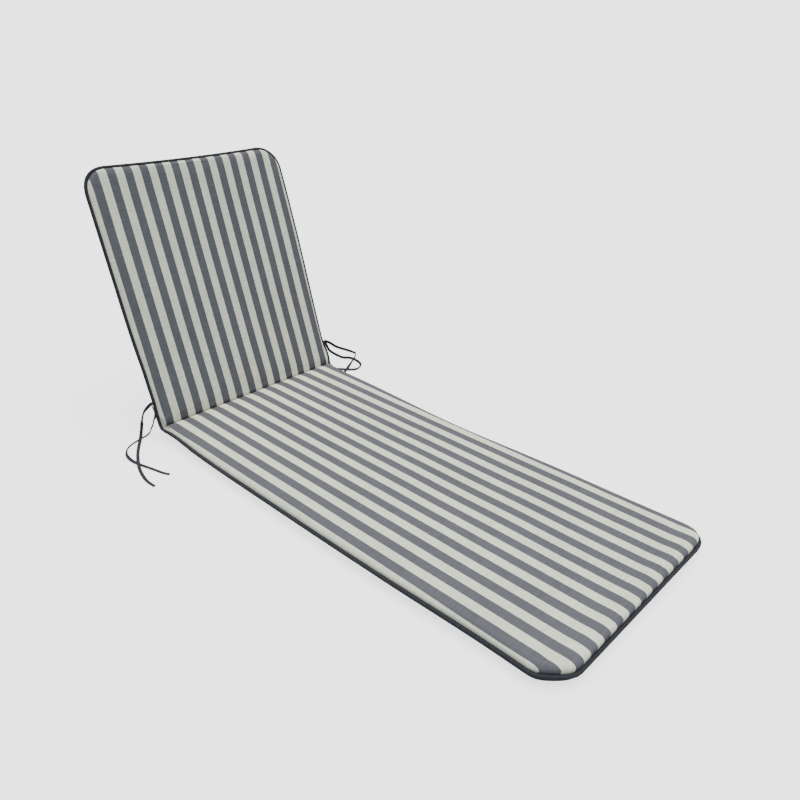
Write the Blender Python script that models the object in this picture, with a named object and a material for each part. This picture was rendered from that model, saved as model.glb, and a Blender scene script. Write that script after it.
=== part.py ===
"""A padded sun lounger cushion, folded up at its sewn crease, with a corded edge and four tie strands.

The cushion is laid out flat first: x runs across it, s runs along its top cloth from the foot
(negative) past the crease (zero) to the head (positive), and h is the depth below the crown. The
function fold() then bends that flat layout into the seat, which lies on the floor, and the raised back.
"""
import math

import bmesh
import bpy
from mathutils import Vector

# Driving dimensions, in metres and radians
WIDTH = 0.599
SEAT_LENGTH = 1.251
BACK_LENGTH = 0.680
THICKNESS = 0.042
BACK_ANGLE = math.radians(71.8)
CREASE_Y = 0.5045
CORNER_RADIUS = 0.066

# Edge section: a rolled crown, a groove that holds the cord, and a rounder underside
CROWN_ROLL = 0.012
CORD_RADIUS = 0.004
CORD_DEPTH = 0.014
CORD_OUTSET = 0.001
CORD_CLEARANCE = 0.0006
UNDERSIDE_REACH = 0.042
UNDERSIDE_REACH_AT_FOOT = 0.022
FULLER_PART_ENDS_AT = -0.750
FULLER_PART_BLEND = 0.060
RIM_INSET = 0.044

# Sewn crease: how far the seam sinks into the fold, and the groove that it pulls into the underside
SEAM_SINK = 0.0105
SEAM_ROLL_ANGLE = math.radians(50.0)
CREASE_REACH = 0.030
CROWN_PINCH = 0.008
CORD_BEND_RADIUS = 0.012
REAR_GROOVE_DEPTH = 0.008
REAR_GROOVE_WIDTH = 0.014

# Softness of the real thing: the hollow of the back, the bowed head edge and the skewed foot edge
BACK_HOLLOW = 0.006
HEAD_BOW = 0.006
FOOT_SKEW = 0.0015

# Where a side is drawn in (or stands out, if negative): side, middle along s, length, amount
LEFT = -1
RIGHT = 1
SIDE_PULLS = (
    (LEFT, -1.100, 0.230, 0.0075),
    (LEFT, -0.020, 0.150, 0.0065),
    (LEFT, 0.018, 0.035, -0.0040),
    (LEFT, 0.160, 0.060, 0.0018),
    (RIGHT, -1.050, 0.250, 0.0060),
    (RIGHT, -0.560, 0.270, 0.0170),
    (RIGHT, 0.018, 0.035, -0.0080),
    (RIGHT, 0.450, 0.250, -0.0055),
)

# How far each corner is rounded off past its arc (or fills it out, if negative): side, end, amount
FOOT = -1
HEAD = 1
CORNER_PULLS = (
    (LEFT, FOOT, 0.0070),
    (RIGHT, FOOT, -0.0050),
    (LEFT, HEAD, -0.0035),
)

# Tie tapes
TAPE_WIDTH = 0.008
TAPE_THICKNESS = 0.0014
TAPE_GAP = 0.0009
TAPE_LEAD = 0.003
TAPE_STEP = 0.009
TIE_ABOVE_CREASE = 0.066
TAPE_SPREAD = 0.0013
TAPE_FLAT_BELOW = 0.030

# Mesh steps
ROW_LENGTH = 0.062
COLUMNS = 10
CORNER_STEPS = 6
CREASE_FRACTIONS = (0.06, 0.12, 0.20, 0.30, 0.45, 0.60, 0.80, 1.0)
ROUTE_SAMPLES = 16

# Steps of the edge section, in degrees: down the crown roll, round the cord groove, under the body
ROLL_STEPS = (0.0, 25.0, 45.0, 62.0)
GROOVE_STEPS = (72.0, 36.0, 0.0, -36.0, -72.0)
UNDERSIDE_STEPS = (25.0, 50.0, 70.0, 90.0)

# Where each strand runs after it leaves the seam, down to its free end on the floor
LEFT_FRONT_ROUTE = (
    (-0.3110, 0.5115, 0.0800),
    (-0.3130, 0.5205, 0.0600),
    (-0.3140, 0.5275, 0.0440),
    (-0.3150, 0.5405, 0.0260),
    (-0.3180, 0.5485, 0.0110),
    (-0.3280, 0.5545, 0.0025),
    (-0.3420, 0.5535, 0.0012),
    (-0.3610, 0.5475, 0.0012),
    (-0.3810, 0.5395, 0.0012),
    (-0.4000, 0.5225, 0.0012),
    (-0.4120, 0.4975, 0.0012),
    (-0.4150, 0.4695, 0.0012),
    (-0.4120, 0.4425, 0.0012),
    (-0.4060, 0.4205, 0.0012),
    (-0.4000, 0.3995, 0.0012),
    (-0.3890, 0.3585, 0.0012),
    (-0.3810, 0.3405, 0.0012),
)
LEFT_REAR_ROUTE = (
    (-0.3160, 0.5485, 0.0850),
    (-0.3190, 0.5605, 0.0700),
    (-0.3200, 0.5695, 0.0530),
    (-0.3220, 0.5745, 0.0350),
    (-0.3270, 0.5725, 0.0180),
    (-0.3350, 0.5635, 0.0070),
    (-0.3450, 0.5495, 0.0042),
    (-0.3600, 0.5285, 0.0025),
    (-0.3760, 0.5055, 0.0012),
    (-0.3920, 0.4785, 0.0020),
    (-0.4080, 0.4465, 0.0042),
    (-0.4200, 0.4195, 0.0022),
    (-0.4300, 0.3865, 0.0012),
    (-0.4360, 0.3515, 0.0012),
    (-0.4350, 0.3185, 0.0012),
)
RIGHT_FRONT_ROUTE = (
    (0.3200, 0.5375, 0.0860),
    (0.3360, 0.5455, 0.0630),
    (0.3540, 0.5515, 0.0470),
    (0.3720, 0.5575, 0.0330),
    (0.3920, 0.5645, 0.0190),
    (0.4100, 0.5675, 0.0070),
    (0.4230, 0.5655, 0.0012),
    (0.4330, 0.5555, 0.0012),
    (0.4370, 0.5405, 0.0012),
    (0.4360, 0.5225, 0.0012),
    (0.4310, 0.5015, 0.0012),
    (0.4200, 0.4835, 0.0012),
    (0.4040, 0.4735, 0.0012),
    (0.3840, 0.4705, 0.0012),
    (0.3650, 0.4775, 0.0020),
    (0.3520, 0.4915, 0.0042),
    (0.3420, 0.5095, 0.0022),
    (0.3340, 0.5275, 0.0012),
)
RIGHT_REAR_ROUTE = (
    (0.3235, 0.5460, 0.0970),
    (0.3380, 0.5415, 0.0880),
    (0.3570, 0.5355, 0.0720),
    (0.3830, 0.5455, 0.0560),
    (0.4120, 0.5585, 0.0390),
    (0.4430, 0.5715, 0.0210),
    (0.4650, 0.5795, 0.0080),
    (0.4740, 0.5735, 0.0025),
    (0.4710, 0.5615, 0.0022),
    (0.4580, 0.5490, 0.0036),
    (0.4390, 0.5345, 0.0044),
    (0.4200, 0.5240, 0.0036),
    (0.4000, 0.5120, 0.0018),
    (0.3710, 0.4955, 0.0012),
    (0.3520, 0.4845, 0.0012),
    (0.3340, 0.4745, 0.0012),
)

# Worked out from the dimensions above
HALF_WIDTH = WIDTH / 2.0
HALF_TURN = BACK_ANGLE / 2.0
ALONG_BACK = Vector((0.0, math.cos(BACK_ANGLE), math.sin(BACK_ANGLE)))
OUT_OF_BACK = Vector((0.0, -math.sin(BACK_ANGLE), math.cos(BACK_ANGLE)))
INTO_FOLD = Vector((0.0, math.sin(HALF_TURN), -math.cos(HALF_TURN)))
CREASE_POINT = Vector((0.0, CREASE_Y, THICKNESS))
REAR_BEND_RADIUS = THICKNESS - SEAM_SINK


def clear_scene():
    """Start from an empty file."""
    for found in list(bpy.data.objects):
        bpy.data.objects.remove(found, do_unlink=True)


def new_material(name, colour, roughness):
    """A plain cloth material."""
    material = bpy.data.materials.new(name)
    material.use_nodes = True
    shader = material.node_tree.nodes["Principled BSDF"]
    shader.inputs["Base Color"].default_value = (*colour, 1.0)
    shader.inputs["Roughness"].default_value = roughness
    shader.inputs["Metallic"].default_value = 0.0
    return material


def hump(distance, length):
    """A soft bump of height one that dies away over the given length."""
    return math.exp(-((distance / length) ** 2))


def side_pull(x, s):
    """How far the side that x lies on is pulled towards the middle at s."""
    side = LEFT if x < 0.0 else RIGHT
    return sum(amount * hump(s - middle, length) for of, middle, length, amount in SIDE_PULLS if of == side)


def corner_shift(x, s):
    """How a point in a corner moves as that corner is rounded off or filled out."""
    end = FOOT if s < 0.0 else HEAD
    side = LEFT if x < 0.0 else RIGHT
    past_x = abs(x) - (HALF_WIDTH - CORNER_RADIUS)
    past_s = abs(s) - ((SEAT_LENGTH if end == FOOT else BACK_LENGTH) - CORNER_RADIUS)
    if past_x <= 0.0 or past_s <= 0.0:
        return 0.0, 0.0
    amount = sum(pull for of, at, pull in CORNER_PULLS if of == side and at == end)
    into_corner = math.sin(2.0 * math.atan2(past_s, past_x)) ** 2
    share = amount * into_corner / CORNER_RADIUS
    return -side * share * past_x, -end * share * past_s


def settle(x, s):
    """Move a point of the neat outline to where the soft, uneven cushion has it."""
    across = min(1.0, abs(x) / HALF_WIDTH)
    shift_x, shift_s = corner_shift(x, s)
    if s > CREASE_REACH:
        shift_s -= HEAD_BOW * (1.0 - across ** 2) * (s / BACK_LENGTH) ** 4
    elif s < -CREASE_REACH:
        shift_s -= FOOT_SKEW * (x / HALF_WIDTH) * (s / SEAT_LENGTH) ** 4
    side = LEFT if x < 0.0 else RIGHT
    return x - side * side_pull(x, s) * across + shift_x, s + shift_s


def arc_in_fold(depth, radius, share):
    """A point on the fillet that joins seat and back at a depth, from 0 at its start to 1 at mid-fold."""
    centre = INTO_FOLD * ((depth - radius) / math.cos(HALF_TURN))
    angle = HALF_TURN * share
    return centre + Vector((0.0, math.sin(angle), -math.cos(angle))) * radius


def buried_path(depth, share):
    """Seat half of the path at cord depth or deeper, from CREASE_REACH before the fold to mid-fold."""
    below_cord = (depth - CORD_DEPTH) / (THICKNESS - CORD_DEPTH)
    radius = CORD_BEND_RADIUS + (REAR_BEND_RADIUS - CORD_BEND_RADIUS) * below_cord
    bend_start = (depth - radius) * math.tan(HALF_TURN)
    straight = CREASE_REACH + bend_start
    run = share * (straight + radius * HALF_TURN)
    if run <= straight:
        return Vector((0.0, run - CREASE_REACH, -depth))
    return arc_in_fold(depth, radius, (run - straight) / (radius * HALF_TURN))


def crown_path(share):
    """Seat half of the crown, which rolls down into the sewn crease."""
    seam = INTO_FOLD * (SEAM_SINK / math.cos(HALF_TURN))
    radius = -seam.z / (1.0 - math.cos(SEAM_ROLL_ANGLE))
    roll_start = seam.y - radius * math.sin(SEAM_ROLL_ANGLE)
    straight = CREASE_REACH + roll_start
    run = share * (straight + radius * SEAM_ROLL_ANGLE)
    if run <= straight:
        return Vector((0.0, run - CREASE_REACH, 0.0))
    angle = (run - straight) / radius
    return Vector((0.0, roll_start + radius * math.sin(angle), radius * (math.cos(angle) - 1.0)))


def mirror_in_fold(point):
    """The back half of the fold is the seat half mirrored in the plane that halves the fold."""
    across = Vector((0.0, math.cos(HALF_TURN), math.sin(HALF_TURN)))
    return point - across * (2.0 * point.dot(across))


def fold(x, s, h):
    """Bend a point of the flat layout into the seat, the fold or the back."""
    x, s = settle(x, s)
    if abs(s) >= CREASE_REACH:
        if s < 0.0:
            point = Vector((0.0, s, -h))
        else:
            point = ALONG_BACK * s - OUT_OF_BACK * h
    else:
        share = 1.0 - abs(s) / CREASE_REACH
        if h >= CORD_DEPTH:
            point = buried_path(h, share)
        else:
            point = crown_path(share).lerp(buried_path(CORD_DEPTH, share), max(h, 0.0) / CORD_DEPTH)
        if s > 0.0:
            point = mirror_in_fold(point)
    return CREASE_POINT + point + Vector((x, 0.0, 0.0))


def rows():
    """Stations along the straight sides, close together in the crease."""
    foot_side = -SEAT_LENGTH + CORNER_RADIUS
    head_side = BACK_LENGTH - CORNER_RADIUS
    seat_rows = round((-CREASE_REACH - foot_side) / ROW_LENGTH)
    back_rows = round((head_side - TIE_ABOVE_CREASE) / ROW_LENGTH)
    crease = [CREASE_REACH * share for share in CREASE_FRACTIONS]
    seat = [foot_side + (-CREASE_REACH - foot_side) * i / seat_rows for i in range(seat_rows)]
    back = [TIE_ABOVE_CREASE + (head_side - TIE_ABOVE_CREASE) * i / back_rows for i in range(back_rows + 1)]
    return seat + [-s for s in reversed(crease)] + [0.0] + crease + back


def right_stations(inset):
    """Right half of the outline at an inset, from the end of the foot edge to the end of the head edge."""
    radius = CORNER_RADIUS - inset
    straight_x = HALF_WIDTH - CORNER_RADIUS
    quarter = math.pi / 2.0
    turns = [quarter * i / CORNER_STEPS for i in range(CORNER_STEPS + 1)]
    foot_centre = -SEAT_LENGTH + CORNER_RADIUS
    head_centre = BACK_LENGTH - CORNER_RADIUS
    foot = [(straight_x + radius * math.sin(t), foot_centre - radius * math.cos(t)) for t in turns[:-1]]
    side = [(straight_x + radius, s) for s in rows()]
    head = [(straight_x + radius * math.cos(t), head_centre + radius * math.sin(t)) for t in turns[1:]]
    return foot + side + head


def edge_columns():
    """Places between the corners along the foot and head edges."""
    straight_x = HALF_WIDTH - CORNER_RADIUS
    return [straight_x * (1.0 - 2.0 * i / COLUMNS) for i in range(1, COLUMNS)]


def ring(inset):
    """The whole outline at an inset, anticlockwise from the right end of the foot edge."""
    right = right_stations(inset)
    left = [(-x, s) for x, s in reversed(right)]
    head = [(x, BACK_LENGTH - inset) for x in edge_columns()]
    foot = [(-x, -SEAT_LENGTH + inset) for x in edge_columns()]
    return right + head + left + foot


def thickness_at(s):
    """Full thickness, less where the crease pulls the underside in."""
    return THICKNESS - REAR_GROOVE_DEPTH * hump(s, REAR_GROOVE_WIDTH)


def hollow_at(x, s):
    """How far the face of the back sinks between its two sides."""
    if s <= 0.0:
        return 0.0
    across = 1.0 - (x / (HALF_WIDTH - CROWN_ROLL)) ** 2
    along = math.sin(math.pi * min(s / BACK_LENGTH, 1.0)) ** 0.5
    return BACK_HOLLOW * max(across, 0.0) * along


def underside_reach(s):
    """The underside is fuller, so its edge turns more sharply, near the foot."""
    fuller = 1.0 / (1.0 + math.exp((s - FULLER_PART_ENDS_AT) / FULLER_PART_BLEND))
    return UNDERSIDE_REACH + (UNDERSIDE_REACH_AT_FOOT - UNDERSIDE_REACH) * fuller


def pinch_at(s):
    """One where the crease pulls the crown in beside the cord, zero outside the crease."""
    return min(max(2.0 - 2.0 * abs(s) / CREASE_REACH, 0.0), 1.0)


def edge_section(s):
    """Insets and depths round the edge, from the flat of the crown to the flat of the underside."""
    groove = CORD_RADIUS + CORD_CLEARANCE
    least_roll_inset = CROWN_PINCH * pinch_at(s)
    least_groove_inset = (groove - CORD_OUTSET) * pinch_at(s)
    lip = math.radians(GROOVE_STEPS[0])
    lip_inset = groove * math.cos(lip) - CORD_OUTSET
    roll_centre = CROWN_ROLL + lip_inset
    bottom = thickness_at(s)
    section = [(RIM_INSET, 0.0), ((RIM_INSET + roll_centre) / 2.0, 0.0)]
    for degrees in ROLL_STEPS:
        turn = math.radians(degrees)
        inset = roll_centre - CROWN_ROLL * math.sin(turn)
        section.append((max(inset, least_roll_inset), CROWN_ROLL * (1.0 - math.cos(turn))))
    for degrees in GROOVE_STEPS:
        turn = math.radians(degrees)
        inset = groove * math.cos(turn) - CORD_OUTSET
        section.append((max(inset, least_groove_inset), CORD_DEPTH - groove * math.sin(turn)))
    start = CORD_DEPTH + groove * math.sin(lip)
    reach = underside_reach(s)
    for degrees in UNDERSIDE_STEPS:
        turn = math.radians(degrees)
        inset = reach - (reach - lip_inset) * math.cos(turn)
        section.append((inset, start + (bottom - start) * math.sin(turn)))
    section.append((RIM_INSET, bottom))
    return section


def face_depth(x, s, top):
    """Depth of the crown or the underside, clear of the rolled edge."""
    return hollow_at(x, s) if top else thickness_at(s)


def add_rings(mesh):
    """Loft the rolled edge, one ring of points for each step of the edge section."""
    stations = list(zip(ring(0.0), ring(RIM_INSET)))
    rings = []
    for step in range(len(edge_section(0.0))):
        points = []
        for (outer_x, outer_s), (inner_x, inner_s) in stations:
            inset, depth = edge_section(outer_s)[step]
            share = inset / RIM_INSET
            x = outer_x + (inner_x - outer_x) * share
            s = outer_s + (inner_s - outer_s) * share
            if depth == 0.0:
                depth = hollow_at(x, s)
            points.append(mesh.verts.new(fold(x, s, depth)))
        rings.append(points)
    return rings


def add_face_grid(mesh, rim, top):
    """Fill the crown or the underside inside its rim, row by row across the cushion."""
    count = len(right_stations(0.0))
    right = rim[:count]
    head = rim[count:count + COLUMNS - 1]
    left = list(reversed(rim[count + COLUMNS - 1:2 * count + COLUMNS - 1]))
    foot = list(reversed(rim[2 * count + COLUMNS - 1:]))
    flat_right = right_stations(RIM_INSET)
    grid = [[right[0]] + foot + [left[0]]]
    for row in range(1, count - 1):
        x_right, s = flat_right[row]
        inner = []
        for column in range(1, COLUMNS):
            x = x_right * (1.0 - 2.0 * column / COLUMNS)
            inner.append(mesh.verts.new(fold(x, s, face_depth(x, s, top))))
        grid.append([right[row]] + inner + [left[row]])
    grid.append([right[-1]] + head + [left[-1]])
    for lower, upper in zip(grid, grid[1:]):
        for i in range(COLUMNS):
            mesh.faces.new((lower[i], upper[i], upper[i + 1], lower[i + 1]))


def build_cushion(collection, material):
    """The filled body: crown, rolled edge with its cord groove, underside and sewn crease."""
    mesh = bmesh.new()
    rings = add_rings(mesh)
    for upper, lower in zip(rings, rings[1:]):
        for i in range(len(upper)):
            j = (i + 1) % len(upper)
            mesh.faces.new((upper[i], upper[j], lower[j], lower[i]))
    add_face_grid(mesh, rings[0], top=True)
    add_face_grid(mesh, rings[-1], top=False)
    bmesh.ops.recalc_face_normals(mesh, faces=mesh.faces)
    data = bpy.data.meshes.new("cushion")
    mesh.to_mesh(data)
    mesh.free()
    data.shade_smooth()
    data.materials.append(material)
    cushion = bpy.data.objects.new("cushion", data)
    collection.objects.link(cushion)
    return cushion


def add_curve(collection, name, points, material, closed):
    """A curve object through the points, as one straight-sided spline."""
    curve = bpy.data.curves.new(name, "CURVE")
    curve.dimensions = "3D"
    curve.bevel_mode = "ROUND"
    curve.use_fill_caps = not closed
    spline = curve.splines.new("POLY")
    spline.points.add(len(points) - 1)
    for place, point in zip(spline.points, points):
        place.co = (*point, 1.0)
    spline.use_cyclic_u = closed
    curve.materials.append(material)
    made = bpy.data.objects.new(name, curve)
    collection.objects.link(made)
    return made


def build_piping(collection, material):
    """The corded edge, one closed loop in the groove of the cushion."""
    points = [fold(x, s, CORD_DEPTH) for x, s in ring(-CORD_OUTSET)]
    piping = add_curve(collection, "piping", points, material, closed=True)
    piping.data.bevel_depth = CORD_RADIUS
    piping.data.bevel_resolution = 2
    return piping


def smooth_route(points, step):
    """Evenly spaced points on one smooth curve through the route's own points."""
    ends = [2 * points[0] - points[1]] + list(points) + [2 * points[-1] - points[-2]]
    dense = []
    for before, start, end, after in zip(ends, ends[1:], ends[2:], ends[3:]):
        for i in range(ROUTE_SAMPLES):
            t = i / ROUTE_SAMPLES
            dense.append(0.5 * (2 * start + (end - before) * t
                                + (2 * before - 5 * start + 4 * end - after) * t ** 2
                                + (3 * start - before - 3 * end + after) * t ** 3))
    dense.append(points[-1].copy())
    lengths = [0.0]
    for a, b in zip(dense, dense[1:]):
        lengths.append(lengths[-1] + (b - a).length)
    count = round(lengths[-1] / step)
    spaced = []
    index = 0
    for i in range(count + 1):
        target = lengths[-1] * i / count
        while index < len(lengths) - 2 and lengths[index + 1] < target:
            index += 1
        share = (target - lengths[index]) / (lengths[index + 1] - lengths[index])
        spaced.append(dense[index].lerp(dense[index + 1], share))
    return spaced


def tie_exit(side, rear):
    """Where a strand leaves the side seam: side is -1 on the left and 1 on the right."""
    depth = CORD_DEPTH + (TAPE_SPREAD if rear else -TAPE_SPREAD)
    start = fold(side * HALF_WIDTH, TIE_ABOVE_CREASE, depth)
    start.x += side * (CORD_OUTSET + CORD_RADIUS + TAPE_GAP)
    return start


def build_strand(collection, name, side, rear, route, material):
    """One free strand of a tie: a flat tape from the side seam to its cut end on the floor."""
    start = tie_exit(side, rear)
    lead = start + Vector((side * TAPE_LEAD, 0.0, 0.0))
    points = [start] + smooth_route([lead] + [Vector(place) for place in route], TAPE_STEP)
    strand = add_curve(collection, name, points, material, closed=False)
    strand.data.twist_mode = "Z_UP"
    strand.data.extrude = (TAPE_WIDTH - TAPE_THICKNESS) / 2.0
    strand.data.bevel_depth = TAPE_THICKNESS / 2.0
    strand.data.bevel_resolution = 1
    for place in strand.data.splines[0].points:
        raised = min(max((place.co.z - TAPE_FLAT_BELOW) / (start.z - TAPE_FLAT_BELOW), 0.0), 1.0)
        place.tilt = math.pi / 2.0 * (1.0 - raised)
    return strand


def build_part():
    """Make every piece of the cushion."""
    clear_scene()
    collection = bpy.data.collections.new("sun_lounger_cushion")
    bpy.context.scene.collection.children.link(collection)
    striped = new_material("striped_cloth", (0.33, 0.33, 0.32), 0.9)
    dark = new_material("dark_binding", (0.04, 0.045, 0.06), 0.85)
    build_cushion(collection, striped)
    build_piping(collection, dark)
    build_strand(collection, "tie_left_front", LEFT, False, LEFT_FRONT_ROUTE, dark)
    build_strand(collection, "tie_left_rear", LEFT, True, LEFT_REAR_ROUTE, dark)
    build_strand(collection, "tie_right_front", RIGHT, False, RIGHT_FRONT_ROUTE, dark)
    build_strand(collection, "tie_right_rear", RIGHT, True, RIGHT_REAR_ROUTE, dark)


build_part()
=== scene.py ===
"""Looks of a striped sun lounger cushion with a corded edge and four tie strands.

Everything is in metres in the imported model's frame: +X across, +Y towards the raised back, +Z up.
The cushion is thought of flat first: x runs across it, s runs along its top cloth from the foot
(negative) past the sewn crease (zero) to the head, and h is the depth below the crown.
"""
import logging
import math
from dataclasses import dataclass
from enum import Enum

import bmesh
import bpy
from mathutils import Euler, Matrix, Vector, noise


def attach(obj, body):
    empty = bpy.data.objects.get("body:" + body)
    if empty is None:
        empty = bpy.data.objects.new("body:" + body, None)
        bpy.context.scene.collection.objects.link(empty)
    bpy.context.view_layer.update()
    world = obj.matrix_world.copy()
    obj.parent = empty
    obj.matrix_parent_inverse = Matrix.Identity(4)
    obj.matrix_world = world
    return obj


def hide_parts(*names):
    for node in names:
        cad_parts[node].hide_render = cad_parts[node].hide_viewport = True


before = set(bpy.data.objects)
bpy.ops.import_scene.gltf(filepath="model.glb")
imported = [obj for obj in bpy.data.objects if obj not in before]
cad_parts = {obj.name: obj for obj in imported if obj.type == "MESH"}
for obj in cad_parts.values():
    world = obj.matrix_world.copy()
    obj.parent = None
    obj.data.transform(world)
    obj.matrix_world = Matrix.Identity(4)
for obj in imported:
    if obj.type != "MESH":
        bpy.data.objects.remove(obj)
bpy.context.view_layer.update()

LOG = logging.getLogger("lounger_cushion")
CLOTH_MAP = "cloth_map"


class Side(Enum):
    """The two long sides, by the sign of x."""

    LEFT = -1
    RIGHT = 1


class End(Enum):
    """The two short ends, by the sign of s."""

    FOOT = -1
    HEAD = 1


class Slot(Enum):
    """Names of the two material slots, striped cloth and dark binding; nothing in the script uses
    them.
    """

    STRIPED = "striped_cloth"
    DARK = "dark_binding"


def hump(distance: float, length: float) -> float:
    """A soft bump of height one that dies away over the given length."""
    return math.exp(-((distance / length) ** 2))


def curve_point(before: Vector, a: Vector, b: Vector, after: Vector, t: float) -> Vector:
    """A point of the smooth curve that runs through four points in turn.

    Args:
        before: the point before a.
        a: start of this stretch of the curve.
        b: its end.
        after: the point after b.
        t: how far from a to b, from 0 to 1.

    Returns:
        The point.
    """
    slope = (b - before) * t
    bend = (2 * before - 5 * a + 4 * b - after) * t ** 2
    turn = (3 * a - before - 3 * b + after) * t ** 3
    return 0.5 * (2 * a + slope + bend + turn)


@dataclass(frozen=True)
class Ripples:
    """One pattern of smooth ripples over the flat cloth, unlike that of any other layer."""

    height: float
    length: float
    layer: float

    def at(self, x: float, s: float) -> float:
        """Height of the ripples at a place across and along the cushion."""
        return self.height * noise.noise(Vector((x / self.length, s / self.length, self.layer)))


@dataclass(frozen=True)
class SidePull:
    """A stretch of a long side that is drawn in, or stands out where the amount is negative."""

    side: Side
    middle: float
    length: float
    amount: float


@dataclass(frozen=True)
class CornerPull:
    """A corner that is rounded off past its arc, or filled out where the amount is negative."""

    side: Side
    end: End
    amount: float


@dataclass(frozen=True)
class PadShape:
    """Driving sizes of the cushion, and the way from its flat layout to its bent form."""

    width: float = 0.597
    seat_length: float = 1.251
    back_length: float = 0.680
    thickness: float = 0.042
    back_angle: float = math.radians(71.8)
    crease_y: float = 0.5045
    corner_radius: float = 0.066
    crown_roll: float = 0.0110
    crown_roll_at_foot: float = 0.0072
    roll_start: float = 0.0012
    roll_start_at_foot: float = 0.0004
    cord_radius: float = 0.0045
    cord_depth: float = 0.014
    cord_drop_on_seat: float = 0.0045
    cord_drop_start: float = 0.040
    cord_drop_length: float = 0.120
    cord_outset: float = 0.002
    cord_stand_out: float = 0.0014
    cord_flare: float = 0.0026
    cord_flare_middle: float = 0.026
    cord_flare_length: float = 0.030
    cord_clearance: float = 0.0003
    seam_sink: float = 0.0105
    seam_roll: float = math.radians(76.0)
    crease_reach: float = 0.030
    cord_bend: float = 0.012
    rear_groove_depth: float = 0.008
    rear_groove_width: float = 0.014
    back_hollow: float = 0.006
    head_bow: float = 0.006
    foot_skew: float = 0.0015
    side_pulls: tuple[SidePull, ...] = (
        SidePull(Side.LEFT, -1.100, 0.230, 0.0075),
        SidePull(Side.LEFT, -0.020, 0.150, 0.0065),
        SidePull(Side.LEFT, 0.018, 0.035, -0.0040),
        SidePull(Side.LEFT, 0.160, 0.060, 0.0018),
        SidePull(Side.RIGHT, -1.050, 0.250, 0.0060),
        SidePull(Side.RIGHT, -0.560, 0.270, 0.0170),
        SidePull(Side.RIGHT, 0.018, 0.035, -0.0080),
        SidePull(Side.RIGHT, 0.450, 0.250, -0.0055),
    )
    corner_pulls: tuple[CornerPull, ...] = (
        CornerPull(Side.LEFT, End.FOOT, 0.0070),
        CornerPull(Side.RIGHT, End.FOOT, -0.0050),
        CornerPull(Side.LEFT, End.HEAD, -0.0035),
    )

    @property
    def half_width(self) -> float:
        """Half of the width between the sewn edges."""
        return self.width / 2.0

    @property
    def half_turn(self) -> float:
        """Half of the angle of the fold."""
        return self.back_angle / 2.0

    @property
    def along_back(self) -> Vector:
        """Direction up the raised back."""
        return Vector((0.0, math.cos(self.back_angle), math.sin(self.back_angle)))

    @property
    def out_of_back(self) -> Vector:
        """Direction that the face of the back looks in."""
        return Vector((0.0, -math.sin(self.back_angle), math.cos(self.back_angle)))

    @property
    def into_fold(self) -> Vector:
        """Direction from the open side of the fold into the cushion."""
        return Vector((0.0, math.sin(self.half_turn), -math.cos(self.half_turn)))

    @property
    def across_fold(self) -> Vector:
        """Normal of the plane that halves the fold, towards the back."""
        return Vector((0.0, math.cos(self.half_turn), math.sin(self.half_turn)))

    @property
    def crease_point(self) -> Vector:
        """Where the planes of the seat's crown and the back's crown would meet."""
        return Vector((0.0, self.crease_y, self.thickness))

    def side_pull(self, x: float, s: float) -> float:
        """How far the side that x lies on is pulled towards the middle at s."""
        side = Side.LEFT if x < 0.0 else Side.RIGHT
        pulls = (pull for pull in self.side_pulls if pull.side is side)
        return sum(pull.amount * hump(s - pull.middle, pull.length) for pull in pulls)

    def corner_shift(self, x: float, s: float) -> tuple[float, float]:
        """How a point in a corner moves as that corner is rounded off or filled out.

        Args:
            x: place across the cushion.
            s: place along the cushion.

        Returns:
            The shift in x and in s.
        """
        side = Side.LEFT if x < 0.0 else Side.RIGHT
        end = End.FOOT if s < 0.0 else End.HEAD
        length = self.seat_length if end is End.FOOT else self.back_length
        past_x = abs(x) - (self.half_width - self.corner_radius)
        past_s = abs(s) - (length - self.corner_radius)
        if past_x <= 0.0 or past_s <= 0.0:
            return 0.0, 0.0
        pulls = (pull for pull in self.corner_pulls if pull.side is side and pull.end is end)
        amount = sum(pull.amount for pull in pulls)
        share = amount * math.sin(2.0 * math.atan2(past_s, past_x)) ** 2 / self.corner_radius
        return -side.value * share * past_x, -end.value * share * past_s

    def settle(self, x: float, s: float) -> tuple[float, float]:
        """Move a point of the neat outline to where the soft, uneven cushion has it.

        Args:
            x: place across the neat cushion.
            s: place along the neat cushion.

        Returns:
            The same point on the uneven cushion.
        """
        across = min(1.0, abs(x) / self.half_width)
        side = -1.0 if x < 0.0 else 1.0
        shift_x, shift_s = self.corner_shift(x, s)
        if s > self.crease_reach:
            shift_s -= self.head_bow * (1.0 - across ** 2) * (s / self.back_length) ** 4
        elif s < -self.crease_reach:
            shift_s -= self.foot_skew * (x / self.half_width) * (s / self.seat_length) ** 4
        return x - side * self.side_pull(x, s) * across + shift_x, s + shift_s

    def arc_in_fold(self, depth: float, radius: float, share: float) -> Vector:
        """A point on the fillet between seat and back, from 0 at its start to 1 at mid-fold."""
        centre = self.into_fold * ((depth - radius) / math.cos(self.half_turn))
        angle = self.half_turn * share
        return centre + Vector((0.0, math.sin(angle), -math.cos(angle))) * radius

    def buried_path(self, depth: float, share: float) -> Vector:
        """Seat half of the path through the fold at cord depth or deeper.

        Args:
            depth: depth below the crown.
            share: 0 where the fold begins, 1 in its middle.

        Returns:
            The point, measured from the crease point.
        """
        below_cord = (depth - self.cord_depth) / (self.thickness - self.cord_depth)
        rear_bend = self.thickness - self.seam_sink
        radius = self.cord_bend + (rear_bend - self.cord_bend) * below_cord
        straight = self.crease_reach + (depth - radius) * math.tan(self.half_turn)
        run = share * (straight + radius * self.half_turn)
        if run <= straight:
            return Vector((0.0, run - self.crease_reach, -depth))
        return self.arc_in_fold(depth, radius, (run - straight) / (radius * self.half_turn))

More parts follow.
